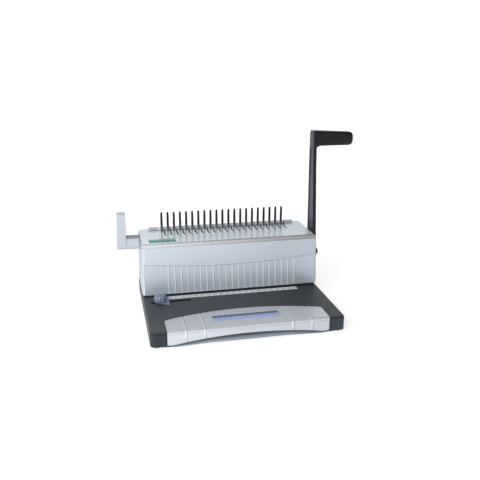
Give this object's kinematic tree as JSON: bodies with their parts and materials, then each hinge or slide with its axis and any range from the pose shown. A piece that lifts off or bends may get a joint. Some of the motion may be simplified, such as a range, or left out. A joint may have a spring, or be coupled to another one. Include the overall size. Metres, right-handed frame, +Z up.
{
  "type": "comb binding machine",
  "caption": "Manual comb binding machine: charcoal table, silver housing, steel fingers, punch handle, comb opener lever, edge guide and chip drawer.",
  "frame": {"origin": "on the desk, under the middle of the machine's bounding box", "axes": "+X to the user's right along the punch row, +Y away from the user, +Z up"},
  "size_m": [0.5458, 0.3274, 0.377],
  "materials": {
    "charcoal_plastic": "satin moulded, fine grain",
    "silver_plastic": "silver metallic paint, satin",
    "panel_silver": "silver metallic paint, satin",
    "handle_metal": "dark grey satin paint",
    "grip_plastic": "black, fine grain",
    "lever_plastic": "light blue-grey, satin",
    "guide_plastic": "tinted blue-grey, translucent",
    "tray_plastic": "moulded, satin",
    "gauge_blue": "printed plate",
    "label_green": "printed plate",
    "scale_white": "printed strip",
    "black_steel": "black, satin",
    "bright_steel": "plated",
    "brass": "plain",
    "rubber": "matt"
  },
  "bodies": {
    "machine": {"base_shell": "charcoal_plastic", "bottom_plate": "charcoal_plastic", "foot_front_left": "rubber", "foot_front_right": "rubber", "foot_rear_left": "rubber", "foot_rear_right": "rubber", "scale_strip": "scale_white", "top_cover": "silver_plastic", "front_panel": "silver_plastic", "rear_cover": "silver_plastic", "label_plate": "label_green", "rear_ledge": "silver_plastic", "side_frame_left": "bright_steel", "side_frame_right": "bright_steel", "tie_bar": "bright_steel", "die_plate": "bright_steel", "punch_guide": "bright_steel", "shaft_bush_left": "brass", "shaft_bush_right": "brass", "return_spring": "bright_steel", "handle_washer": "grip_plastic", "finger_plate": "black_steel"},
    "punch_handle": {"handle_arm": "handle_metal", "handle_grip": "grip_plastic", "pivot_cap": "grip_plastic", "drive_shaft": "bright_steel", "drive_pinion_left": "bright_steel", "drive_pinion_right": "bright_steel"},
    "punch": {"punch_bar": "bright_steel", "punch_rack_left": "bright_steel", "punch_rack_right": "bright_steel"},
    "opener_lever": {"comb_lever": "lever_plastic", "lever_shaft": "bright_steel", "lever_pinion_left": "bright_steel", "lever_pinion_right": "bright_steel"},
    "opener_hooks": {"hook_plate": "black_steel"},
    "guide": {"edge_guide": "guide_plastic", "clamp_stud": "bright_steel"},
    "knob": {"guide_knob": "guide_plastic"},
    "drawer": {"chip_tray": "tray_plastic", "drawer_front": "panel_silver", "size_gauge": "gauge_blue"}
  },
  "joints": [
    {"name": "handle_turn", "type": "hinge", "parent": "machine", "child": "punch_handle", "pos_m": [0.17321, 0.07765, 0.0955], "axis": [1, 0, 0], "range_deg": [0, 85], "stiffness_Nm_per_rad": 1, "springref_deg": -17.19},
    {"name": "punch_slide", "type": "slide", "parent": "machine", "child": "punch", "axis": [0, 0, -1], "range_m": [0, 0.0112]},
    {"name": "opener_turn", "type": "hinge", "parent": "machine", "child": "opener_lever", "pos_m": [-0.22679, 0.12565, 0.128], "axis": [1, 0, 0], "range_deg": [0, 105]},
    {"name": "hook_slide", "type": "slide", "parent": "machine", "child": "opener_hooks", "axis": [0, -1, 0], "range_m": [0, 0.0275]},
    {"name": "guide_slide", "type": "slide", "parent": "machine", "child": "guide", "axis": [1, 0, 0], "range_m": [-0.0162, 0.061]},
    {"name": "knob_turn", "type": "hinge", "parent": "guide", "child": "knob", "pos_m": [-0.18999, -0.00885, 0.04], "axis": [0, 0, 1], "range_deg": [0, 120]},
    {"name": "drawer_slide", "type": "slide", "parent": "machine", "child": "drawer", "axis": [0, -1, 0], "range_m": [0, 0.15]}
  ],
  "couplings": [
    {"joint": "punch_slide", "follows": "handle_turn", "m_per_rad": 0.0075},
    {"joint": "hook_slide", "follows": "opener_turn", "m_per_rad": 0.015}
  ]
}
